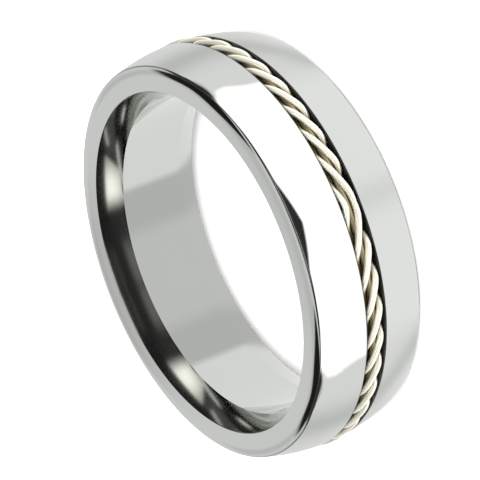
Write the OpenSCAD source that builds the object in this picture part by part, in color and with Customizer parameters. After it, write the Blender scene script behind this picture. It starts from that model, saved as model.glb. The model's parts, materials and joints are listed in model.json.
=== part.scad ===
// Domed ring of tungsten carbide with a wire braid laid in a lined channel.
// Millimetres. The ring lies on one side face: the axis is +Z, and the origin is the
// middle of the face that it rests on.

/* [Band] */
// Inside diameter of the bore, a US size 9.5
bore_d = 19.35; // [16:0.05:22]
// Width from one side face to the other
band_w = 7; // [6:0.25:9]
// Wall from the bore to the top of the dome
crown_wall = 2.73; // [2.6:0.01:3.1]
// Wall from the bore to the corner of a side face
edge_wall = 2.17; // [2:0.01:2.3]

/* [Side faces and bore] */
// Width of the shallow curved rim of a side face
rim_w = 0.7; // [0.4:0.05:0.8]
// Radius of the arc in which that rim falls away
rim_r = 6; // [5:0.5:10]
// Radius of the rounded corner between the rim and the dome
corner_r = 0.03; // [0.02:0.01:0.12]
// Width of the eased mouth at each end of the bore, seen on the side face
mouth_w = 0.705; // [0.65:0.005:0.8]
// Radius of the rounded edge between that mouth and the side face
mouth_edge_r = 0.05; // [0.03:0.01:0.1]
// Angle at which the comfort face starts from the bore, in degrees
comfort_start = 18; // [15:0.5:20]
// Angle at which it meets the rounded edge, in degrees
comfort_end = 30.5; // [28:0.5:35]

/* [Channel and lining] */
// Width of the channel between its two lips
channel_w = 1.4; // [1.3:0.05:1.6]
// Thickness of the lining on the channel's floor
floor_lining = 0.12; // [0.08:0.01:0.15]
// Thickness of the lining on the channel's two walls
wall_lining = 0.05; // [0.04:0.01:0.08]
// Clearance between pieces that are bonded together
bond_gap = 0.01; // [0.005:0.005:0.02]

/* [Braid] */
// Thickness of the braid, from the lining to its top
braid_t = 1; // [0.8:0.05:1.05]
// How far the top of the braid stands above the channel's lips
braid_rise = 0.12; // [0:0.02:0.2]

/* [Hidden] */
$fn = 180;

// The band's section, in the plane of radius and height, with the middle of its width at 0
half_w = band_w / 2;
bore_r = bore_d / 2;
crown_r = bore_r + crown_wall;
edge_r = bore_r + edge_wall;
rim_start = edge_r - rim_w;
rim_centre_z = half_w - rim_r;
corner_z = rim_centre_z + sqrt(rim_r * rim_r - rim_w * rim_w);

// The dome is an arc through the crown and both corners, centred on the middle plane.
// The rim is an arc from the flat of the side face, where it is tangent, to a corner.
dome_fall = crown_r - edge_r;
dome_r = (dome_fall * dome_fall + corner_z * corner_z) / (2 * dome_fall);
dome_centre = crown_r - dome_r;

// The rounded corner touches both arcs from inside, so its centre is where two smaller
// arcs about the same centres cross
inner_dome_r = dome_r - corner_r;
inner_rim_r = rim_r - corner_r;
apart_r = rim_start - dome_centre;
apart = sqrt(apart_r * apart_r + rim_centre_z * rim_centre_z);
along = (inner_dome_r * inner_dome_r - inner_rim_r * inner_rim_r + apart * apart) / (2 * apart);
aside = sqrt(inner_dome_r * inner_dome_r - along * along);
round_r = dome_centre + (along * apart_r - aside * rim_centre_z) / apart;
round_z = (along * rim_centre_z + aside * apart_r) / apart;
rim_turn = atan2(round_z - rim_centre_z, round_r - rim_start);
dome_turn = atan2(round_z, round_r - dome_centre);
clip_out = 1;

// The mouth's rounded edge touches the side face. The comfort face is an arc from the
// bore to that edge, which it meets without a crease.
mouth_r = bore_r + mouth_w;
edge_centre_z = half_w - mouth_edge_r;
meet_r = mouth_r - mouth_edge_r * cos(comfort_end);
meet_z = edge_centre_z + mouth_edge_r * sin(comfort_end);
comfort_r = (meet_r - bore_r) / (cos(comfort_start) - cos(comfort_end));
comfort_centre_r = meet_r + comfort_r * cos(comfort_end);
comfort_centre_z = meet_z - comfort_r * sin(comfort_end);
bore_half_l = comfort_centre_z + comfort_r * sin(comfort_start);

// Channel, lining and braid, outwards from the floor of the channel
lip_r = dome_centre + sqrt(dome_r * dome_r - channel_w * channel_w / 4);
braid_top_r = lip_r + braid_rise;
braid_centre_r = braid_top_r - braid_t / 2;
lining_floor_r = braid_top_r - braid_t - bond_gap;
channel_floor_r = lining_floor_r - floor_lining - bond_gap;
lining_outer_w = channel_w - 2 * bond_gap;
lining_inner_w = lining_outer_w - 2 * wall_lining;
lining_top_r = lip_r - bond_gap;
braid_w = lining_inner_w - 2 * bond_gap;
over_cut = 1;

// Upper half of the band's section, before the bore is eased and the channel is cut
module upper_half() {
    rim_clip = [round_r + clip_out * cos(rim_turn), round_z + clip_out * sin(rim_turn)];
    dome_clip = [round_r + clip_out * cos(dome_turn), round_z + clip_out * sin(dome_turn)];
    translate([bore_r, 0]) square([rim_start - bore_r, half_w]);
    intersection() {
        translate([dome_centre, 0]) circle(dome_r);
        translate([rim_start, rim_centre_z]) circle(rim_r);
        polygon([
            [rim_start, 0],
            [rim_start, half_w],
            rim_clip,
            [round_r, round_z],
            dome_clip,
            [dome_clip.x, 0],
        ]);
    }
    translate([round_r, round_z]) circle(corner_r);
}

// What the comfort face and the rounded edge take off one end of the bore
module mouth_cut() {
    edge_clip = [
        mouth_r - clip_out * cos(comfort_end),
        edge_centre_z + clip_out * sin(comfort_end)
    ];
    difference() {
        translate([bore_r - over_cut, bore_half_l])
            square([mouth_w + over_cut, half_w - bore_half_l + over_cut]);
        translate([comfort_centre_r, comfort_centre_z]) circle(comfort_r);
    }
    difference() {
        polygon([
            [mouth_r, edge_centre_z],
            edge_clip,
            [edge_clip.x, half_w + over_cut],
            [mouth_r, half_w + over_cut],
        ]);
        translate([mouth_r, edge_centre_z]) circle(mouth_edge_r);
    }
}

module channel_cut() {
    translate([channel_floor_r, -channel_w / 2]) square([crown_wall, channel_w]);
}

module band_section() {
    difference() {
        union() {
            upper_half();
            mirror([0, 1]) upper_half();
        }
        mouth_cut();
        mirror([0, 1]) mouth_cut();
        channel_cut();
    }
}

module lining_section() {
    lining_back_r = channel_floor_r + bond_gap;
    difference() {
        translate([lining_back_r, -lining_outer_w / 2])
            square([lining_top_r - lining_back_r, lining_outer_w]);
        translate([lining_floor_r, -lining_inner_w / 2])
            square([crown_wall, lining_inner_w]);
    }
}

// A flat oval: a straight middle with a half round at each side
module braid_section() {
    end_r = braid_t / 2;
    end_z = braid_w / 2 - end_r;
    translate([braid_centre_r - end_r, -end_z]) square([braid_t, 2 * end_z]);
    for (side = [-1, 1])
        translate([braid_centre_r, side * end_z]) circle(end_r);
}

// Turns a section about the ring's axis, resting on the lower side face
module turned() {
    translate([0, 0, half_w]) rotate_extrude() children();
}

module band() {
    color([0.62, 0.62, 0.61]) turned() band_section();
}

module inlay_bed() {
    color([0.03, 0.03, 0.03]) turned() lining_section();
}

module braid() {
    color([0.87, 0.82, 0.66]) turned() braid_section();
}

band();
inlay_bed();
braid();
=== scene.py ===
import json
import math
from typing import NamedTuple

import bpy
from bpy.props import FloatProperty, FloatVectorProperty, IntProperty, PointerProperty
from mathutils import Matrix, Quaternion, Vector


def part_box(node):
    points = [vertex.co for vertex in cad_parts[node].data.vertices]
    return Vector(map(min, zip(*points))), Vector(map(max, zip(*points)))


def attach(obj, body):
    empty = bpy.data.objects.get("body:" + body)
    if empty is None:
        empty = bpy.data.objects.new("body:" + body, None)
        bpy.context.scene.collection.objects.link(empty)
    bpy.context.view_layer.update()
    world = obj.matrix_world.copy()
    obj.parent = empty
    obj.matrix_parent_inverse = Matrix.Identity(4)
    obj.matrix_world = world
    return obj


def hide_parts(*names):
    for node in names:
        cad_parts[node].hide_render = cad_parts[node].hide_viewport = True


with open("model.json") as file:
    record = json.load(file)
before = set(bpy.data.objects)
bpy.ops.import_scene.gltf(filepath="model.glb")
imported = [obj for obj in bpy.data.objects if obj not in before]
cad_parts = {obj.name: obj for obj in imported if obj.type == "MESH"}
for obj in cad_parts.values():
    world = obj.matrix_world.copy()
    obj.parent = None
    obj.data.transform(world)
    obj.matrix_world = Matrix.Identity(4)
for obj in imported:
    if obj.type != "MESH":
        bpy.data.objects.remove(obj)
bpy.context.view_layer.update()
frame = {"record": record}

bl_info = {
    "name": "Braided Inlay Ring",
    "version": (1, 0, 0),
    "blender": (4, 5, 0),
    "location": "View3D > Sidebar > Ring",
    "description": "A domed tungsten carbide ring with a twisted wire braid in its channel",
    "category": "Object",
}

MM = 0.001
BAND_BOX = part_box("band")
BED_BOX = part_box("inlay_bed")
BRAID_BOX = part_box("braid")
MOUNTS = {mount["name"]: mount for mount in frame["record"]["mounts"]}
BORE = MOUNTS["finger_bore"]["dims"]
ROUND_STEPS = 360


class BandSizes(bpy.types.PropertyGroup):
    """The turned band, from the middle of its width out"""

    half_width: FloatProperty(
        name="Half width",
        description="From the middle of the band to a side face",
        default=BAND_BOX[1].z / 2,
        unit="LENGTH",
        precision=6,
    )
    lip_radius: FloatProperty(
        name="Lip radius",
        description="Radius of the dome at the lips of the channel",
        default=BAND_BOX[1].x,
        unit="LENGTH",
        precision=6,
    )
    bore_radius: FloatProperty(
        name="Bore radius",
        description="Radius of the straight part of the bore",
        default=BORE["r_mm"] * MM,
        unit="LENGTH",
        precision=6,
    )
    mouth_width: FloatProperty(
        name="Eased mouth",
        description="Width of the eased mouth at each end of the bore",
        default=0.705 * MM,
        unit="LENGTH",
        precision=6,
    )
    mouth_edge: FloatProperty(
        name="Mouth edge",
        description="Radius of the rounded edge between the mouth and the side face",
        default=0.05 * MM,
        unit="LENGTH",
        precision=6,
    )
    comfort_start: FloatProperty(
        name="Comfort start",
        description="Angle at which the comfort face starts from the bore",
        default=math.radians(18),
        subtype="ANGLE",
    )
    comfort_end: FloatProperty(
        name="Comfort end",
        description="Angle at which the comfort face meets the rounded edge",
        default=math.radians(30.5),
        subtype="ANGLE",
    )
    edge_wall: FloatProperty(
        name="Wall at the edge",
        description="From the bore to the corner of a side face",
        default=2.17 * MM,
        unit="LENGTH",
        precision=6,
    )
    rim_width: FloatProperty(
        name="Rim width",
        description="Width of the shallow curved rim of a side face",
        default=0.7 * MM,
        unit="LENGTH",
        precision=6,
    )
    rim_radius: FloatProperty(
        name="Rim radius",
        description="Radius of the arc in which that rim falls away",
        default=6 * MM,
        unit="LENGTH",
        precision=6,
    )
    corner_radius: FloatProperty(
        name="Corner radius",
        description="Radius of the corner between the rim and the dome",
        default=0.03 * MM,
        unit="LENGTH",
        precision=6,
    )
    carbide: FloatVectorProperty(
        name="Carbide",
        description="Colour of the polished tungsten carbide",
        default=(0.65, 0.665, 0.64, 1.0),
        size=4,
        subtype="COLOR",
    )


class BedSizes(bpy.types.PropertyGroup):
    """The resin lining of the channel"""

    bond_gap: FloatProperty(
        name="Bond gap",
        description="Clearance between the lining and the channel",
        default=0.01 * MM,
        unit="LENGTH",
        precision=6,
    )
    floor_lining: FloatProperty(
        name="Floor lining",
        description="Thickness of the lining on the channel's floor",
        default=0.12 * MM,
        unit="LENGTH",
        precision=6,
    )
    wall_lining: FloatProperty(
        name="Wall lining",
        description="Thickness of the lining on the channel's walls",
        default=0.05 * MM,
        unit="LENGTH",
        precision=6,
    )
    fillet: FloatProperty(
        name="Fillet",
        description="Radius of the resin in the two corners of the channel",
        default=0.1 * MM,
        unit="LENGTH",
        precision=6,
    )
    resin: FloatVectorProperty(
        name="Resin",
        description="Colour of the lining",
        default=(0.006, 0.006, 0.006, 1.0),
        size=4,
        subtype="COLOR",
    )


class BraidSizes(bpy.types.PropertyGroup):
    """The twisted wires, whose twist turns back at the front and at the back"""

    thickness: FloatProperty(
        name="Braid thickness",
        description="Thickness of the braid, from the lining to its top",
        default=1 * MM,
        unit="LENGTH",
        precision=6,
    )
    strands: IntProperty(
        name="Strands",
        description="Number of wires twisted about the core",
        default=3,
        min=2,
        max=4,
    )
    wire_radius: FloatProperty(
        name="Wire radius",
        description="Radius of every wire, twisted ones and the straight one in the middle",
        default=0.19 * MM,
        unit="LENGTH",
        precision=6,
    )
    twist_depth: FloatProperty(
        name="Twist depth",
        description="How far the middle of a twisted wire rises and sinks",
        default=0.29 * MM,
        unit="LENGTH",
        precision=6,
    )
    half_turns: FloatProperty(
        name="Turns in a half",
        description="Turns of the twist from the front of the ring to its back",
        default=7.1,
    )
    start_angle: FloatProperty(
        name="Start angle",
        description="Where the first wire lies in the braid's section at the front",
        default=math.radians(12),
        subtype="ANGLE",
    )
    turn_back: FloatProperty(
        name="Turn back",
        description="How softly the twist turns back, as a share of the cosine",
        default=0.001,
        precision=5,
    )
    samples: IntProperty(
        name="Samples",
        description="Points along one wire",
        default=720,
        min=90,
    )
    sides: IntProperty(
        name="Sides",
        description="Faces round one wire",
        default=14,
        min=6,
    )
    gold: FloatVectorProperty(
        name="Pale gold",
        description="Colour of the bright wire",
        default=(0.96, 0.93, 0.79, 1.0),
        size=4,
        subtype="COLOR",
    )
    # Painted shade: the colour the wires take where they lie deep in the braid, in the shade
    # between the others
    crevice_shade: FloatVectorProperty(
        name="Crevice shade",
        description="Colour of the wire deep in the braid",
        default=(0.24, 0.18, 0.08, 1.0),
        size=4,
        subtype="COLOR",
    )


class StageSettings(bpy.types.PropertyGroup):
    """The floor, the light and the camera"""

    elevation: FloatProperty(
        name="Elevation",
        description="Angle of the camera above the floor",
        default=math.radians(29.56),
        subtype="ANGLE",
    )
    roll: FloatProperty(
        name="Roll",
        description="Turn of the camera about its own axis",
        default=math.radians(248.67),
        subtype="ANGLE",
    )
    distance: FloatProperty(
        name="Distance",
        description="From the camera to the middle of the ring",
        default=148.3 * MM,
        unit="LENGTH",
        precision=5,
    )
    lens: FloatProperty(
        name="Lens",
        description="Focal length of the camera, in millimetres",
        default=191.5,
    )
    centre_column: FloatProperty(
        name="Centre column",
        description="Column of the picture, out of 480, at which the middle of the ring lies",
        default=244.2,
    )
    centre_row: FloatProperty(
        name="Centre row",
        description="Row of the picture, out of 480, at which the middle of the ring lies",
        default=245.0,
    )
    daylight: FloatProperty(
        name="Daylight",
        description="Strength of the even light from all round",
        default=2.0,
    )
    overhead: FloatProperty(
        name="Overhead",
        description="Power of the soft light above the ring",
        default=16,
        unit="POWER",
    )
    floor: FloatVectorProperty(
        name="Floor",
        description="Colour of the floor",
        default=(0.8, 0.8, 0.8, 1.0),
        size=4,
        subtype="COLOR",
    )


class Number:
    """A number in a node tree, on which Python's own arithmetic adds Math nodes"""

    def __init__(self, nodes, socket):
        self.nodes = nodes
        self.socket = socket

    def math(self, operation, *terms):
        node = self.nodes.add("ShaderNodeMath", {"operation": operation}, dict(enumerate(terms)))
        return Number(self.nodes, node.outputs[0])

    def __add__(self, other):
        return self.math("ADD", self, other)

    def __radd__(self, other):
        return self.math("ADD", other, self)

    def __sub__(self, other):
        return self.math("SUBTRACT", self, other)

    def __rsub__(self, other):
        return self.math("SUBTRACT", other, self)

    def __mul__(self, other):
        return self.math("MULTIPLY", self, other)

    def __rmul__(self, other):
        return self.math("MULTIPLY", other, self)

    def __truediv__(self, other):
        return self.math("DIVIDE", self, other)

    def __neg__(self):
        return self.math("MULTIPLY", self, -1)

    def __pow__(self, other):
        return self.math("POWER", self, other)

    def sine(self):
        return self.math("SINE", self)

    def cosine(self):
        return self.math("COSINE", self)

    def arccosine(self):
        return self.math("ARCCOSINE", self)

    def above(self, other):
        """1 where this number is the greater one, and otherwise 0"""
        return self.math("GREATER_THAN", self, other)

    def or_more(self, other):
        """The greater of the two numbers"""
        return self.math("MAXIMUM", self, other)


class Nodes:
    """A node tree and the one method that adds a node to it"""

    def __init__(self, tree):
        self.tree = tree
        self.tree.nodes.clear()

    def add(self, kind, settings=None, sockets=None):
        """Adds a node with these settings, and sets or links these of its inputs"""
        node = self.tree.nodes.new(kind)
        for name, value in (settings or {}).items():
            setattr(node, name, value)
        for name, value in (sockets or {}).items():
            if isinstance(value, Number):
                value = value.socket
            if isinstance(value, bpy.types.NodeSocket):
                self.tree.links.new(value, node.inputs[name])
            else:
                node.inputs[name].default_value = value
        return node

    def number(self, node, output=0):
        return Number(self, node.outputs[output])

    def parts(self, place):
        """The X, Y and Z of a place"""
        split = self.add("ShaderNodeSeparateXYZ", sockets={0: place})
        return tuple(self.number(split, axis) for axis in "XYZ")

    def object_place(self):
        """Where a point of the surface lies in the frame of its own piece"""
        return self.add("ShaderNodeTexCoord").outputs["Object"]

    def ramp(self, value, low, high):
        """0 up to the low value and 1 from the high one on, with a soft rise between them"""
        node = self.add(
            "ShaderNodeMapRange",
            {"interpolation_type": "SMOOTHSTEP"},
            {"Value": value, 1: low, 2: high},
        )
        return self.number(node)

    def mix_colours(self, share, first, second):
        node = self.add("ShaderNodeMix", {"data_type": "RGBA"}, {0: share, 6: first, 7: second})
        return node.outputs[2]

    def noise(self, where, scale, detail=2.0):
        node = self.add(
            "ShaderNodeTexNoise",
            sockets={"Vector": where, "Scale": scale, "Detail": detail},
        )
        return self.number(node, "Fac")

    def bump(self, finish, grain):
        """The normal of a surface whose grain stands in low relief"""
        node = self.add(
            "ShaderNodeBump",
            sockets={"Strength": finish.bump, "Distance": finish.relief, "Height": grain},
        )
        return node.outputs[0]


class Finish(NamedTuple):
    """A surface's roughness, what its grain adds to that, and the grain's scale and relief"""

    roughness: float
    uneven: float
    grain: float
    bump: float = 0.0
    relief: float = 0.0


CARBIDE = Finish(0.015, 0.02, 260.0)
RESIN = Finish(0.12, 0.15, 3000.0, 0.4, 0.01 * MM)
WIRE = Finish(0.34, 0.08, 2500.0, 0.15, 0.004 * MM)
PAPER = Finish(0.9, 0.0, 900.0)

# Polishing lines on the carbide: scale of their noise, how much they wander, what they add to
# the roughness, and the detail of this noise and of the clouds
LINE_SCALE = 9000.0
LINE_DRIFT = 0.03
LINE_ROUGHNESS = 0.02
CARBIDE_DETAIL = 3.0

# Haze on the two eased mouths: what it adds to the roughness, and the widths in which it starts
# at the bore and ends at the mouth's edge
HAZE = 0.08
HAZE_START = 0.05 * MM
HAZE_END = 0.03 * MM

# The second colour of a surface, as a share of its first one
CARBIDE_SHADE = 0.97
RESIN_LIFT = 2.5
PAPER_SHADE = 0.985

WIRE_METALLIC = 0.72
PAPER_SPECULAR = 0.1


def from_axis(x, y):
    """Distance from the ring's axis"""
    return (x * x + y * y) ** 0.5


def shaded(colour, share):
    """The same colour, darker or lighter"""
    return tuple(share * part for part in colour[:3]) + (1.0,)


def new_material(name):
    material = bpy.data.materials.new(name)
    material.use_nodes = True
    return material, Nodes(material.node_tree)


def finish_material(nodes, kind, sockets):
    """Ends a material with one shader of this kind"""
    shader = nodes.add(kind, sockets=sockets)
    nodes.add("ShaderNodeOutputMaterial", sockets={"Surface": shader.outputs[0]})


def lathe_lines(nodes, place):
    """Noise in fine lines round the ring's axis, which wander a little along their length"""
    x, y, z = nodes.parts(place)
    where = nodes.add(
        "ShaderNodeCombineXYZ",
        sockets={0: from_axis(x, y) + x * LINE_DRIFT, 1: z, 2: y * LINE_DRIFT},
    )
    return nodes.noise(where.outputs[0], LINE_SCALE, CARBIDE_DETAIL)


def mouth_haze(nodes, place, band):
    """1 on the eased mouths, where a finger wears them, and 0 in the bore and on the faces"""
    x, y, _ = nodes.parts(place)
    out = from_axis(x, y)
    mouth = band.bore_radius + band.mouth_width
    inner = nodes.ramp(out, band.bore_radius, band.bore_radius + HAZE_START)
    return inner * nodes.ramp(-out, -mouth, HAZE_END - mouth)


def polished_carbide(band):
    """Tungsten carbide, mirror polished round the ring, and a little hazy on the mouths"""
    material, nodes = new_material("polished_carbide")
    place = nodes.object_place()
    clouds = nodes.noise(place, CARBIDE.grain, CARBIDE_DETAIL)
    lines = lathe_lines(nodes, place)
    roughness = CARBIDE.roughness + lines * LINE_ROUGHNESS + clouds * CARBIDE.uneven
    sockets = {
        "Base Color": nodes.mix_colours(
            clouds,
            tuple(band.carbide),
            shaded(band.carbide, CARBIDE_SHADE),
        ),
        "Metallic": 1.0,
        "Roughness": roughness + mouth_haze(nodes, place, band) * HAZE,
    }
    finish_material(nodes, "ShaderNodeBsdfPrincipled", sockets)
    return material


def black_resin(colour):
    """Poured black resin, glossy with a slightly uneven surface"""
    material, nodes = new_material("black_resin")
    grain = nodes.noise(nodes.object_place(), RESIN.grain)
    sockets = {
        "Base Color": nodes.mix_colours(grain, tuple(colour), shaded(colour, RESIN_LIFT)),
        "Roughness": RESIN.roughness + grain * RESIN.uneven,
        "Normal": nodes.bump(RESIN, grain),
    }
    finish_material(nodes, "ShaderNodeBsdfPrincipled", sockets)
    return material


def pale_gold_wire(gold, crevice_shade):
    """Drawn wire, bright on top of the braid, with shade painted browner where it dips between
    the others
    """
    material, nodes = new_material("pale_gold_wire")
    grain = nodes.noise(nodes.object_place(), WIRE.grain)
    # The depth attribute carries the painted shade between the wires
    depth = nodes.number(nodes.add("ShaderNodeAttribute", {"attribute_name": "depth"}), "Fac")
    sockets = {
        "Base Color": nodes.mix_colours(depth, tuple(gold), tuple(crevice_shade)),
        "Metallic": WIRE_METALLIC,
        "Roughness": WIRE.roughness + grain * WIRE.uneven,
        "Normal": nodes.bump(WIRE, grain),
    }
    finish_material(nodes, "ShaderNodeBsdfPrincipled", sockets)
    return material


def matt_floor(colour):
    """Pale paper, with a very faint tooth"""
    material, nodes = new_material("matt_floor")
    tooth = nodes.noise(nodes.object_place(), PAPER.grain)
    sockets = {
        "Base Color": nodes.mix_colours(tooth, tuple(colour), shaded(colour, PAPER_SHADE)),
        "Roughness": PAPER.roughness,
        "Specular IOR Level": PAPER_SPECULAR,
    }
    finish_material(nodes, "ShaderNodeBsdfPrincipled", sockets)
    return material


def glowing_tent():
    """Light whose strength and tint are painted on the mesh as its glow"""
    material, nodes = new_material("glowing_tent")
    glow = nodes.add("ShaderNodeAttribute", {"attribute_name": "glow"})
    finish_material(nodes, "ShaderNodeEmission", {"Color": glow.outputs["Color"]})
    material.cycles.emission_sampling = "NONE"
    return material


def arc(centre, radius, start, end, steps):
    """Points of radius and height on an arc, in degrees from outwards to upwards"""
    points = []
    for step in range(steps + 1):
        turn = math.radians(start + (end - start) * step / steps)
        points.append((centre[0] + radius * math.cos(turn), centre[1] + radius * math.sin(turn)))
    return points


def line(start, end, steps):
    """Points of radius and height on a straight line"""
    points = []
    for step in range(steps + 1):
        share = step / steps
        points.append(tuple(a + (b - a) * share for a, b in zip(start, end)))
    return points


def mirrored(stretch):
    """The same stretch on the other half of the width, run the other way"""
    return [(radius, -height) for radius, height in reversed(stretch)]


def crossing(first, first_radius, second, second_radius):
    """The upper crossing of two circles"""
    apart = (Vector(second) - Vector(first)).length
    unit = (Vector(second) - Vector(first)) / apart
    along = (first_radius**2 - second_radius**2 + apart**2) / (2 * apart)
    aside = math.sqrt(first_radius**2 - along**2)
    return Vector(first) + along * unit + aside * Vector((-unit.y, unit.x))


def angle_of(point, centre):
    """Direction of a point from a centre, in degrees from outwards to upwards"""
    return math.degrees(math.atan2(point[1] - centre[1], point[0] - centre[0]))


# Into how many steps each stretch of the two outlines is divided
BORE_STEPS = 4
COMFORT_STEPS = 24
MOUTH_EDGE_STEPS = 16
FACE_STEPS = 3
RIM_STEPS = 10
CORNER_STEPS = 8
DOME_STEPS = 48
CHANNEL_STEPS = 2
INNER_WALL_STEPS = 4
FILLET_STEPS = 8
LIP_STEPS = 1


def floor_radius(bed, braid):
    """Radius of the lining's floor, on which the braid lies"""
    return BRAID_BOX[1].x - braid.thickness - bed.bond_gap


def mouth_outline(band):
    """The comfort face from the bore outwards, and the rounded edge that ends it"""
    mouth = band.bore_radius + band.mouth_width
    start, end = band.comfort_start, band.comfort_end
    end_turn = 180 - math.degrees(end)
    edge_centre = (mouth, band.half_width - band.mouth_edge)
    mouth_edge = arc(edge_centre, band.mouth_edge, end_turn, 90, MOUTH_EDGE_STEPS)
    meet = Vector(mouth_edge[0])
    radius = (meet.x - band.bore_radius) / (math.cos(start) - math.cos(end))
    centre = meet + radius * Vector((math.cos(end), -math.sin(end)))
    comfort = arc(centre, radius, 180 - math.degrees(start), end_turn, COMFORT_STEPS)
    return comfort + mouth_edge[1:]


def outer_outline(band, channel_half):
    """The side face, its rim, the rounded corner and the dome as far as the channel's lip"""
    half = band.half_width
    edge = band.bore_radius + band.edge_wall
    rim_start = edge - band.rim_width
    rim_centre = (rim_start, half - band.rim_radius)
    corner_z = rim_centre[1] + math.sqrt(band.rim_radius**2 - band.rim_width**2)
    lip = band.lip_radius
    dome_centre = ((lip**2 + channel_half**2 - edge**2 - corner_z**2) / (2 * (lip - edge)), 0)
    dome_radius = math.hypot(lip - dome_centre[0], channel_half)
    corner_centre = crossing(
        dome_centre,
        dome_radius - band.corner_radius,
        rim_centre,
        band.rim_radius - band.corner_radius,
    )
    rim_turn = angle_of(corner_centre, rim_centre)
    dome_turn = angle_of(corner_centre, dome_centre)
    lip_turn = angle_of((lip, channel_half), dome_centre)
    face = line((band.bore_radius + band.mouth_width, half), (rim_start, half), FACE_STEPS)
    rim = arc(rim_centre, band.rim_radius, 90, rim_turn, RIM_STEPS)
    corner = arc(corner_centre, band.corner_radius, rim_turn, dome_turn, CORNER_STEPS)
    dome = arc(dome_centre, dome_radius, dome_turn, lip_turn, DOME_STEPS)
    return face + rim[1:] + corner[1:] + dome[1:]


def band_stretches(band, bed, braid):
    """The band's outline as stretches between its sharp edges"""
    channel_half = BED_BOX[1].z - band.half_width + bed.bond_gap
    channel_floor = floor_radius(bed, braid) - bed.floor_lining - bed.bond_gap
    mouth = mouth_outline(band)
    bore = line((band.bore_radius, 0), mouth[0], BORE_STEPS)
    lip = (band.lip_radius, channel_half)
    foot = (channel_floor, channel_half)
    wall = line(lip, foot, CHANNEL_STEPS)
    floor = line(foot, (channel_floor, -channel_half), CHANNEL_STEPS)
    upper = [bore, mouth, outer_outline(band, channel_half), wall]
    return upper + [floor] + [mirrored(stretch) for stretch in reversed(upper)]


def bed_stretches(band, bed, braid):
    """The lining's outline as stretches between its sharp edges"""
    outer_half = BED_BOX[1].z - band.half_width
    inner_half = outer_half - bed.wall_lining
    top = BED_BOX[1].x
    floor = floor_radius(bed, braid)
    back = floor - bed.floor_lining
    round_centre = (floor + bed.fillet, inner_half - bed.fillet)
    inner = line((top, inner_half), (floor + bed.fillet, inner_half), INNER_WALL_STEPS)
    inner += arc(round_centre, bed.fillet, 90, 180, FILLET_STEPS)[1:]
    inner += line((floor, inner_half - bed.fillet), (floor, 0), CHANNEL_STEPS)[1:]
    inner += mirrored(inner)[1:]
    lip = line((top, outer_half), (top, inner_half), LIP_STEPS)
    wall = line((back, outer_half), (top, outer_half), CHANNEL_STEPS)
    base = line((back, -outer_half), (back, outer_half), CHANNEL_STEPS)
    return [base, wall, lip, inner, mirrored(lip), mirrored(wall)]


def turned_mesh(name, stretches, middle):
    """A closed outline turned about the ring's axis, with sharp edges between its stretches"""
    outline = []
    sharp = set()
    for stretch in stretches:
        sharp.add(len(outline))
        outline += stretch[:-1]
    count = len(outline)
    verts = []
    for radius, height in outline:
        for step in range(ROUND_STEPS):
            turn = math.tau * step / ROUND_STEPS
            verts.append((radius * math.cos(turn), radius * math.sin(turn), middle + height))
    faces = []
    for row in range(count):
        low = row * ROUND_STEPS
        high = (row + 1) % count * ROUND_STEPS
        for step in range(ROUND_STEPS):
            beside = (step + 1) % ROUND_STEPS
            faces.append((low + step, high + step, high + beside, low + beside))
    mesh = bpy.data.meshes.new(name)
    mesh.from_pydata(verts, [], faces)
    mesh.shade_smooth()
    for edge in mesh.edges:
        first, second = (index // ROUND_STEPS for index in edge.vertices)
        edge.use_edge_sharp = first == second and first in sharp
    mesh.update()
    return mesh


def placed(name, data):
    """A new object at the origin, linked to the scene"""
    thing = bpy.data.objects.new(name, data)
    bpy.context.scene.collection.objects.link(thing)
    return thing


def show(name, mesh, material, node):
    """Puts a finished mesh in the scene in place of the CAD node that it stands for"""
    mesh.materials.clear()
    mesh.materials.append(material)
    piece = placed(name, mesh)
    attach(piece, "root")
    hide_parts(node)


class RING_OT_band(bpy.types.Operator):
    """Turn the polished band from its section"""

    bl_idname = "ring.band"
    bl_label = "Polished band"

    def execute(self, context):
        scene = context.scene
        band = scene.ring_band
        stretches = band_stretches(band, scene.ring_bed, scene.ring_braid)
        mesh = turned_mesh("polished_band", stretches, band.half_width)
        show("polished_band", mesh, polished_carbide(band), "band")
        return {"FINISHED"}


class RING_OT_bed(bpy.types.Operator):
    """Turn the black lining of the channel"""

    bl_idname = "ring.bed"
    bl_label = "Channel lining"

    def execute(self, context):
        scene = context.scene
        bed = scene.ring_bed
        stretches = bed_stretches(scene.ring_band, bed, scene.ring_braid)
        mesh = turned_mesh("channel_lining", stretches, scene.ring_band.half_width)
        show("channel_lining", mesh, black_resin(bed.resin), "inlay_bed")
        return {"FINISHED"}


BRAID_INPUTS = {
    "Strands": "NodeSocketInt",
    "Samples": "NodeSocketInt",
    "Sides": "NodeSocketInt",
    "Braid Radius": "NodeSocketFloat",
    "Middle Height": "NodeSocketFloat",
    "Half Depth": "NodeSocketFloat",
    "Half Width": "NodeSocketFloat",
    "Wire Radius": "NodeSocketFloat",
    "Half Turns": "NodeSocketFloat",
    "Start Angle": "NodeSocketFloat",
    "Turn Back": "NodeSocketFloat",
    "Material": "NodeSocketMaterial",
}

# How square a twisted wire's way round the braid's section is: it stays high for longer, and
# turns more sharply at the sides
FLAT_TOP = 0.5
SHARP_SIDE = 0.23

# Painted shade: depths below the top of the braid between which the wires darken, and how much
# of that shade the straight core has
CREVICE_SHADE_FROM = 0.16 * MM
CREVICE_SHADE_TO = 0.5 * MM
CORE_SHADE = 0.85


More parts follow.
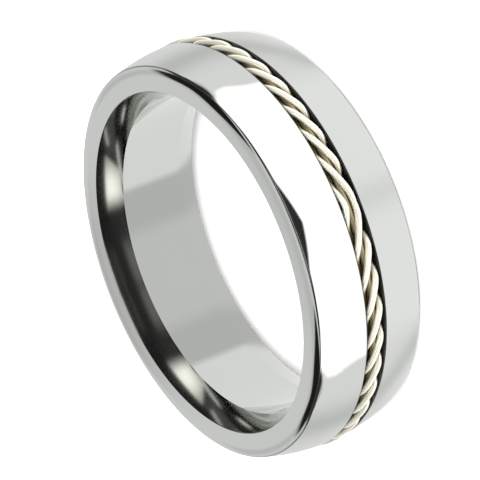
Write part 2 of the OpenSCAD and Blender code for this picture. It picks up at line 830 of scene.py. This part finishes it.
def braid_tree():
    """Wires that lie round the ring and twist about a straight one in an oval section"""
    tree = bpy.data.node_groups.new("twisted_braid", "GeometryNodeTree")
    nodes = Nodes(tree)
    for name, kind in BRAID_INPUTS.items():
        tree.interface.new_socket(name, in_out="INPUT", socket_type=kind)
    tree.interface.new_socket("Geometry", in_out="OUTPUT", socket_type="NodeSocketGeometry")
    given = nodes.add("NodeGroupInput").outputs

    def value(name):
        return Number(nodes, given[name])

    circle = nodes.add(
        "GeometryNodeCurvePrimitiveCircle",
        sockets={"Resolution": given["Samples"], "Radius": 1.0},
    )
    wires = nodes.add(
        "GeometryNodeDuplicateElements",
        {"domain": "SPLINE"},
        {"Geometry": circle.outputs["Curve"], "Amount": value("Strands") + 1},
    )
    across, ahead, _ = nodes.parts(nodes.add("GeometryNodeInputPosition").outputs[0])
    from_front = (-ahead * (1 - value("Turn Back"))).arccosine()
    number_of_wire = nodes.number(wires, "Duplicate Index")
    core = number_of_wire.above(value("Strands") - 0.5)
    share = number_of_wire / value("Strands") * math.tau
    twist = value("Start Angle") + 2 * value("Half Turns") * from_front + share
    sine, cosine = twist.sine(), twist.cosine()
    lift = cosine * (1 + FLAT_TOP - FLAT_TOP * cosine * cosine)
    swing = sine * (1 - SHARP_SIDE + SHARP_SIDE * sine * sine)
    radius = value("Braid Radius") + value("Half Depth") * (1 - core) * lift
    height = value("Middle Height") + value("Half Width") * (1 - core) * swing
    place = nodes.add(
        "ShaderNodeCombineXYZ",
        sockets={0: across * radius, 1: ahead * radius, 2: height},
    )
    laid = nodes.add(
        "GeometryNodeSetPosition",
        sockets={"Geometry": wires.outputs["Geometry"], "Position": place.outputs[0]},
    )
    profile = nodes.add(
        "GeometryNodeCurvePrimitiveCircle",
        sockets={"Resolution": given["Sides"], "Radius": given["Wire Radius"]},
    )
    swept = nodes.add(
        "GeometryNodeCurveToMesh",
        sockets={"Curve": laid.outputs[0], "Profile Curve": profile.outputs["Curve"]},
    )
    # Painted shade: the deeper a wire lies below the top of the braid, the darker it is painted,
    # and the core darkest
    x, y, _ = nodes.parts(nodes.add("GeometryNodeInputPosition").outputs[0])
    top = value("Braid Radius") + value("Half Depth") + value("Wire Radius")
    below = nodes.ramp(top - from_axis(x, y), CREVICE_SHADE_FROM, CREVICE_SHADE_TO)
    marked = nodes.add(
        "GeometryNodeStoreNamedAttribute",
        {"data_type": "FLOAT", "domain": "POINT"},
        {
            "Geometry": swept.outputs[0],
            "Name": "depth",
            "Value": below.or_more(CORE_SHADE * core),
        },
    )
    smooth = nodes.add("GeometryNodeSetShadeSmooth", sockets={"Geometry": marked.outputs[0]})
    real = nodes.add("GeometryNodeRealizeInstances", sockets={"Geometry": smooth.outputs[0]})
    coated = nodes.add(
        "GeometryNodeSetMaterial",
        sockets={"Geometry": real.outputs[0], "Material": given["Material"]},
    )
    nodes.add("NodeGroupOutput", sockets={0: coated.outputs[0]})
    return tree


def grown_mesh(name, tree, inputs):
    """The plain mesh that a Geometry Nodes tree makes from these named inputs"""
    seed = placed(name + "_seed", bpy.data.meshes.new(name + "_seed"))
    modifier = seed.modifiers.new(name, "NODES")
    modifier.node_group = tree
    for item in tree.interface.items_tree:
        if item.in_out == "INPUT":
            modifier[item.identifier] = inputs[item.name]
    bpy.context.view_layer.update()
    evaluated = seed.evaluated_get(bpy.context.evaluated_depsgraph_get())
    mesh = bpy.data.meshes.new_from_object(evaluated)
    mesh.name = name
    seed.modifiers.remove(modifier)
    bpy.data.objects.remove(seed)
    if not mesh.polygons:
        raise RuntimeError(f"{name}: the node tree made no faces")
    return mesh


class RING_OT_braid(bpy.types.Operator):
    """Twist the wires of the braid round the ring"""

    bl_idname = "ring.braid"
    bl_label = "Twisted braid"

    def execute(self, context):
        braid = context.scene.ring_braid
        half_width = (BRAID_BOX[1].z - BRAID_BOX[0].z) / 2
        material = pale_gold_wire(braid.gold, braid.crevice_shade)
        inputs = {
            "Strands": braid.strands,
            "Samples": braid.samples,
            "Sides": braid.sides,
            "Braid Radius": BRAID_BOX[1].x - braid.wire_radius - braid.twist_depth,
            "Middle Height": (BRAID_BOX[0].z + BRAID_BOX[1].z) / 2,
            "Half Depth": braid.twist_depth,
            "Half Width": half_width - braid.wire_radius,
            "Wire Radius": braid.wire_radius,
            "Half Turns": braid.half_turns,
            "Start Angle": braid.start_angle,
            "Turn Back": braid.turn_back,
            "Material": material,
        }
        mesh = grown_mesh("braid_wires", braid_tree(), inputs)
        show("braid_wires", mesh, material, "braid")
        return {"FINISHED"}


# What the polished metal sees all round is painted on a tent of light and on the ground, in
# degrees: turn is counted from the camera's side, the same to left and right, and rise is
# counted up from the horizon. Reach is how far off a reflection meets the ground, in
# millimetres.


class Patch(NamedTuple):
    """A soft patch of light on the tent, laid over those before it"""

    from_turn: float
    to_turn: float
    from_rise: float
    to_rise: float
    soft_turn: float
    soft_rise: float
    strength: float
    tint: tuple = (1.0, 1.0, 1.0)


class Fade(NamedTuple):
    """A soft change to a level, between a start and an end of turn, rise or reach"""

    start: float
    end: float
    level: float = 1.0


class Slope(NamedTuple):
    """An edge whose rise changes evenly with the turn"""

    turn: float
    rise: float
    each_degree: float

    def at(self, turn):
        return self.rise + self.each_degree * (turn - self.turn)


WARM = (1.0, 0.98, 0.94)
PATCHES = [
    Patch(96, 150, -5, 60, 8, 10, 0.075),
    Patch(-1, 96, 20, 90, 1, 20, 0.016),
    Patch(150, 200, -6, 17, 50, 8, 1.45),
    Patch(166, 200, 13, 33.5, 6, 1.5, 0.84),
    Patch(169, 200, 30, 42.5, 1.5, 1.5, 0.84),
    Patch(170.5, 200, 30.8, 38.5, 2, 2, 0.69),
    Patch(169.5, 172.5, 24, 31, 2, 2, 0.69),
    Patch(168.8, 172.8, 31, 34, 0.8, 1, 0.015),
    Patch(168.8, 174.8, 32.6, 39.5, 0.8, 1, 0.015),
    Patch(150, 169, 33.5, 60, 1, 1, 0.05),
    Patch(177, 200, 19, 27, 3, 3, 0.6),
    Patch(-1, 30, 7, 16, 20, 6, 0.17, WARM),
    Patch(-1, 30, 25.5, 29, 14, 3, 0.06, WARM),
    Patch(-1, 33, 36, 54, 14, 4, 1.0),
    Patch(-1, 105, 54, 120, 20, 6, 1.2),
]
TENT_DARK = 0.035
TENT_RADIUS = 1.5
TENT_TURN_STEP = 0.5
TENT_FINE_STEP = 0.5
TENT_COARSE_STEP = 2
TENT_FINE_RISE = 50

# The bore and its lower mouth, by the turn about the axis of the stretch that shows them
BORE_GLOW = 0.76
BORE_FADES = [Fade(28, 44, 0.65), Fade(66, 74, 0.99)]
BORE_BRIGHT = Fade(-20, -15, 1.2)
BORE_TOP = Fade(-4, -3)

# The soft light at either side: where it starts and ends, its lower edge, its strength, and
# the black edge above it
SIDE_IN = Fade(52, 68)
SIDE_OUT = Fade(94, 98)
SIDE_FOOT = Slope(82, 3.7, 0.63)
SIDE_FOOT_SOFT = 1
SIDE_GLOW = 1.45
SIDE_DIMMING = Fade(72, 96, 0.45)
SIDE_LOW_SHARE = 0.7
SIDE_RISING = Fade(4, 12)
SIDE_TINT = (1.0, 0.98, 0.91)
SIDE_DARK = 0.015
SIDE_DARK_TURNS = (48, 120)
SIDE_DARK_SOFT = 6
SIDE_TOP = Slope(74, 17, -0.21)
SIDE_TOP_SOFT = 0.8
SIDE_GLINT = Patch(103, 119, 8, 9.8, 4, 0.8, 1.0, (0.6, 0.56, 0.5))

# The white paper in front of the ring, which rises a little above the horizon
SWEEP_GLOW = 1.62
SWEEP_END = Fade(78, 84)
SWEEP_LOW = -1
SWEEP_SOFT = 0.8
SWEEP_RISING = Slope(0, 0.45, 0.175)
SWEEP_HIGH = 5.2
SWEEP_FALLING = Slope(40, 0, 0.1)

# The ground: a broad dip in its glow that moves with the reach, the brighter paper in front and
# its edge, the dimming behind, and the dark far off at the side
GROUND_RADIUS = 11.9 * MM
GROUND_ANGLE_STEP = 0.5
DIP_TURN = 122
DIP_NEAR_SHIFT = -30
DIP_NEAR_REACH = 2.4
DIP_WIDTH = 14
DIP_DEPTH = 0.21
DIP_DEEPENING = Fade(3, 9, 0.28)
FRONT_FAR = Fade(4, 9)
FRONT_EDGE = 77.5
FRONT_EDGE_SHIFTS = [Fade(4, 9, 2.5), Fade(8, 32, 5.5), Fade(45, 90, -4)]
FRONT_EDGE_SOFT = 13
FRONT_EDGE_SOFT_FAR = 1.5
FRONT_GLOW = 1.13
FRONT_DIP = 0.13
FRONT_DIP_WIDTH = 8
BACK_DIMMING = Fade(118, 165, 0.8)
NEAR_DIMMING = 0.08
NEAR_DIMMING_TURN = Fade(100, 130)
NEAR_DIMMING_REACH = Fade(4, 8)
FAR_DARK = 0.02
FAR_DARK_TURNS = (78, 106.5)
FAR_DARK_SOFT = 5
FAR_DARK_REACH = 50
FAR_DARK_STRETCH = 1.3
FAR_DARK_RETREAT = 130
FAR_DARK_RETREAT_TURN = 77
FAR_DARK_RETREAT_WIDTH = 4.8
REACHES = [0, 0.25, 0.5, 0.75, 1, 1.5, 2, 2.5, 3, 3.5, 4, 5, 6, 7, 8, 9, 10, 12, 14, 17, 20, 25]
REACHES += [30, 35, 40, 45, 50, 60, 70, 80, 90, 100, 110, 120, 140, 170, 200, 300, 600, 1490]


def soft_step(value, low, high):
    """0 up to the low value and 1 from the high one on, with a soft rise between them"""
    share = min(max((value - low) / (high - low), 0.0), 1.0)
    return share * share * (3 - 2 * share)


def within(value, low, high, soft):
    """1 between the two values and 0 outside them, with soft edges"""
    rise = soft_step(value, low - soft / 2, low + soft / 2)
    return rise * (1 - soft_step(value, high - soft / 2, high + soft / 2))


def passed(fade, value):
    """How far a value is past a fade, from 0 to 1"""
    return soft_step(value, fade.start, fade.end)


def faded(level, fade, value):
    """A level led over to the fade's own"""
    return level + (fade.level - level) * passed(fade, value)


def hump(value, width):
    """1 at zero, falling off softly to both sides"""
    return math.exp(-((value / width) ** 2))


def patched(glow, patch, turn, rise):
    """A glow with a patch laid over it"""
    share = within(turn, patch.from_turn, patch.to_turn, patch.soft_turn)
    share *= within(rise, patch.from_rise, patch.to_rise, patch.soft_rise)
    return glow.lerp(patch.strength * Vector(patch.tint), share)


def grey(level):
    return Vector((level, level, level))


def spaced(low, high, step):
    """Evenly spaced values from the low one up to the high one, without that one itself"""
    return [low + step * count for count in range(round((high - low) / step))]


def glow_grid(name, points, glows, columns):
    """A grid of points, row by row, whose light is painted on it and seen in reflections only"""
    mesh = bpy.data.meshes.new(name)
    rows = len(points) // columns
    faces = []
    for row in range(rows - 1):
        for column in range(columns - 1):
            corner = row * columns + column
            faces.append((corner, corner + 1, corner + columns + 1, corner + columns))
    mesh.from_pydata(points, [], faces)
    glow = mesh.attributes.new("glow", "FLOAT_COLOR", "POINT")
    for index, colour in enumerate(glows):
        glow.data[index].color = (*colour, 1.0)
    card = placed(name, mesh)
    for ray in ("camera", "diffuse", "transmission", "volume_scatter", "shadow"):
        setattr(card, "visible_" + ray, False)
    return card


def bore_glow(turn, rise):
    """What the bore and its lower mouth show, by the stretch of the bore that shows it"""
    across = math.radians(turn)
    level = math.cos(math.radians(rise))
    sight = math.cos(bpy.context.scene.ring_stage.elevation)
    half = math.atan2(level * math.sin(across), level * math.cos(across) + sight)
    glow = BORE_GLOW
    for fade in BORE_FADES:
        glow = faded(glow, fade, 2 * math.degrees(half))
    return faded(glow, BORE_BRIGHT, rise)


def side_box(glow, turn, rise):
    """The soft light at either side, cut off by a black edge above it"""
    foot = SIDE_FOOT.at(turn)
    top = SIDE_TOP.at(turn)
    share = passed(SIDE_IN, turn) * (1 - passed(SIDE_OUT, turn))
    share *= soft_step(rise, foot - SIDE_FOOT_SOFT, foot + SIDE_FOOT_SOFT)
    strength = faded(SIDE_GLOW, SIDE_DIMMING, turn) * faded(SIDE_LOW_SHARE, SIDE_RISING, rise)
    glow = glow.lerp(strength * Vector(SIDE_TINT), share)
    share = within(turn, *SIDE_DARK_TURNS, SIDE_DARK_SOFT)
    share *= soft_step(rise, top - SIDE_TOP_SOFT, top + SIDE_TOP_SOFT)
    glow = glow.lerp(grey(SIDE_DARK), share)
    return patched(glow, SIDE_GLINT, turn, rise)


def sweep_top(turn):
    """How far the white paper in front of the ring rises above the horizon"""
    return min(SWEEP_RISING.at(turn), SWEEP_HIGH) - max(0, SWEEP_FALLING.at(turn))


def tent_glow(turn, rise):
    """Light of the tent in one direction"""
    glow = grey(TENT_DARK)
    for patch in PATCHES:
        glow = patched(glow, patch, turn, rise)
    glow = side_box(glow, turn, rise)
    share = 1 - passed(SWEEP_END, turn)
    share *= within(rise, SWEEP_LOW, sweep_top(turn), SWEEP_SOFT)
    glow = glow.lerp(grey(SWEEP_GLOW), share)
    return glow.lerp(grey(bore_glow(turn, rise)), 1 - passed(BORE_TOP, rise))


def light_tent(middle):
    """A sphere of light round the ring, finely divided about the horizon"""
    points = []
    glows = []
    rises = spaced(-90, -TENT_FINE_RISE, TENT_COARSE_STEP)
    rises += spaced(-TENT_FINE_RISE, TENT_FINE_RISE, TENT_FINE_STEP)
    rises += spaced(TENT_FINE_RISE, 90, TENT_COARSE_STEP) + [90]
    turns = spaced(0, 360, TENT_TURN_STEP) + [360]
    for rise in rises:
        up = math.radians(rise)
        level = TENT_RADIUS * math.cos(up)
        height = middle + TENT_RADIUS * math.sin(up)
        for turn in turns:
            across = math.radians(turn)
            points.append((level * math.sin(across), -level * math.cos(across), height))
            glows.append(tent_glow(min(turn, 360 - turn), rise))
    return glow_grid("light_tent", points, glows, len(turns))


def front_glow(turn, reach):
    """Light of the ground in front of the ring"""
    near = FRONT_GLOW - FRONT_DIP * hump(turn, FRONT_DIP_WIDTH)
    return near + (SWEEP_GLOW - near) * passed(FRONT_FAR, reach)


def front_share(turn, reach):
    """How much of the ground at a turn and reach is the brighter front of it"""
    edge = FRONT_EDGE
    for shift in FRONT_EDGE_SHIFTS:
        edge += shift.level * passed(shift, reach)
    soft = FRONT_EDGE_SOFT
    soft += (FRONT_EDGE_SOFT_FAR - FRONT_EDGE_SOFT) * passed(FRONT_FAR, reach)
    return 1 - soft_step(turn, edge - soft, edge + soft)


def dark_share(turn, reach):
    """How much of the ground at a turn and reach is the dark far off at the side"""
    retreat = math.exp((FAR_DARK_RETREAT_TURN - turn) / FAR_DARK_RETREAT_WIDTH)
    start = FAR_DARK_REACH + FAR_DARK_RETREAT * retreat
    share = within(turn, *FAR_DARK_TURNS, FAR_DARK_SOFT)
    return share * soft_step(reach, start, FAR_DARK_STRETCH * start)


def ground_glow(turn, reach):
    """What the dome shows of the ground"""
    centre = DIP_TURN + DIP_NEAR_SHIFT * math.exp(-reach / DIP_NEAR_REACH)
    glow = 1 - faded(DIP_DEPTH, DIP_DEEPENING, reach) * hump(turn - centre, DIP_WIDTH)
    glow += (front_glow(turn, reach) - glow) * front_share(turn, reach)
    glow *= faded(1, BACK_DIMMING, turn)
    near = 1 - passed(NEAR_DIMMING_REACH, reach)
    glow *= 1 - NEAR_DIMMING * passed(NEAR_DIMMING_TURN, turn) * near
    return glow + (FAR_DARK - glow) * dark_share(turn, reach)


def glowing_ground():
    """The ground beside the ring, ruled along the lines of sight that the dome reflects"""
    points = []
    glows = []
    for angle in spaced(-180, 180, GROUND_ANGLE_STEP) + [180]:
        around = math.radians(angle)
        foot = GROUND_RADIUS * Vector((math.cos(around), math.sin(around)))
        sight = Vector((0, 1))
        turn = 180
        if angle < 0:
            sight = Vector((-math.sin(2 * around), math.cos(2 * around)))
            turn = abs(180 + 2 * angle)
        for reach in REACHES:
            spot = foot + reach * MM * sight
            points.append((spot.x, spot.y, 0))
            glows.append(grey(ground_glow(turn, reach)))
    return glow_grid("glowing_ground", points, glows, len(REACHES))


FLOOR_HALF = 4.0
FLOOR_DROP = 0.01 * MM
OVERHEAD_SIZE = 1.2
OVERHEAD_PLACE = (0.0, -0.2, 1.3)
CLIP_START = 0.01
CLIP_END = 20
PICTURE = 480


def add_floor(colour):
    """A wide floor just under the ring, which the metal doesn't mirror"""
    ends = (-FLOOR_HALF, FLOOR_HALF)
    corners = [(x, y, -FLOOR_DROP) for y in ends for x in ends]
    mesh = bpy.data.meshes.new("floor")
    mesh.from_pydata(corners, [], [(0, 1, 3, 2)])
    mesh.materials.append(matt_floor(colour))
    floor = placed("floor", mesh)
    floor.visible_glossy = False


def add_world(strength):
    """Even light from all round"""
    world = bpy.data.worlds.new("daylight")
    world.use_nodes = True
    nodes = Nodes(world.node_tree)
    sky = nodes.add(
        "ShaderNodeBackground",
        sockets={"Color": (1.0, 1.0, 1.0, 1.0), "Strength": strength},
    )
    nodes.add("ShaderNodeOutputWorld", sockets={"Surface": sky.outputs[0]})
    bpy.context.scene.world = world


def add_overhead(power):
    """A large soft light above the ring"""
    light = bpy.data.lights.new("overhead_softbox", "AREA")
    light.shape = "SQUARE"
    light.size = OVERHEAD_SIZE
    light.energy = power
    softbox = placed("overhead_softbox", light)
    softbox.location = OVERHEAD_PLACE
    softbox.visible_camera = False
    softbox.visible_glossy = False


def add_camera(stage, middle):
    """The camera stands at the photo's angle, with the ring's middle where the photo has it"""
    back = Vector((0, -math.cos(stage.elevation), math.sin(stage.elevation)))
    unrolled = (-back).to_track_quat("-Z", "Y")
    turned = unrolled @ Quaternion((0, 0, 1), stage.roll)
    right = turned @ Vector((1, 0, 0))
    up = turned @ Vector((0, 1, 0))
    camera = bpy.data.cameras.new("camera")
    camera.lens = stage.lens
    camera.clip_start = CLIP_START
    camera.clip_end = CLIP_END
    pixel = stage.distance * camera.sensor_width / stage.lens / PICTURE
    centre = Vector((0, 0, middle))
    spot = centre + stage.distance * back
    aim = centre + pixel * (PICTURE / 2 - stage.centre_column) * right
    aim += pixel * (stage.centre_row - PICTURE / 2) * up
    holder = placed("camera", camera)
    holder.location = spot
    holder.rotation_mode = "QUATERNION"
    holder.rotation_quaternion = (-back).rotation_difference(aim - spot) @ turned
    bpy.context.scene.camera = holder


class RING_OT_stage(bpy.types.Operator):
    """Lay the floor, set the light and the camera"""

    bl_idname = "ring.stage"
    bl_label = "Stage"

    def execute(self, context):
        stage = context.scene.ring_stage
        middle = context.scene.ring_band.half_width
        add_floor(stage.floor)
        add_world(stage.daylight)
        add_overhead(stage.overhead)
        material = glowing_tent()
        for card in (light_tent(middle), glowing_ground()):
            card.data.materials.append(material)
        add_camera(stage, middle)
        context.scene.view_settings.view_transform = "Standard"
        return {"FINISHED"}


class RING_PT_panel(bpy.types.Panel):
    """The ring's pieces and their sizes"""

    bl_idname = "RING_PT_panel"
    bl_label = "Braided ring"
    bl_space_type = "VIEW_3D"
    bl_region_type = "UI"
    bl_category = "Ring"

    def draw(self, context):
        for group, operator in STEPS:
            settings = getattr(context.scene, group)
            column = self.layout.column()
            for name in settings.bl_rna.properties.keys():
                if name not in ("rna_type", "name"):
                    column.prop(settings, name)
            column.operator(operator)


STEPS = [
    ("ring_band", RING_OT_band.bl_idname),
    ("ring_bed", RING_OT_bed.bl_idname),
    ("ring_braid", RING_OT_braid.bl_idname),
    ("ring_stage", RING_OT_stage.bl_idname),
]
GROUPS = {
    "ring_band": BandSizes,
    "ring_bed": BedSizes,
    "ring_braid": BraidSizes,
    "ring_stage": StageSettings,
}
OPERATORS = [RING_OT_band, RING_OT_bed, RING_OT_braid, RING_OT_stage]
CLASSES = [*GROUPS.values(), *OPERATORS, RING_PT_panel]


def register():
    for each in CLASSES:
        bpy.utils.register_class(each)
    for name, group in GROUPS.items():
        setattr(bpy.types.Scene, name, PointerProperty(type=group))


def unregister():
    for name in GROUPS:
        delattr(bpy.types.Scene, name)
    for each in reversed(CLASSES):
        bpy.utils.unregister_class(each)


def main():
    register()
    bpy.ops.ring.band()
    bpy.ops.ring.bed()
    bpy.ops.ring.braid()
    bpy.ops.ring.stage()


if __name__ == "__main__":
    main()
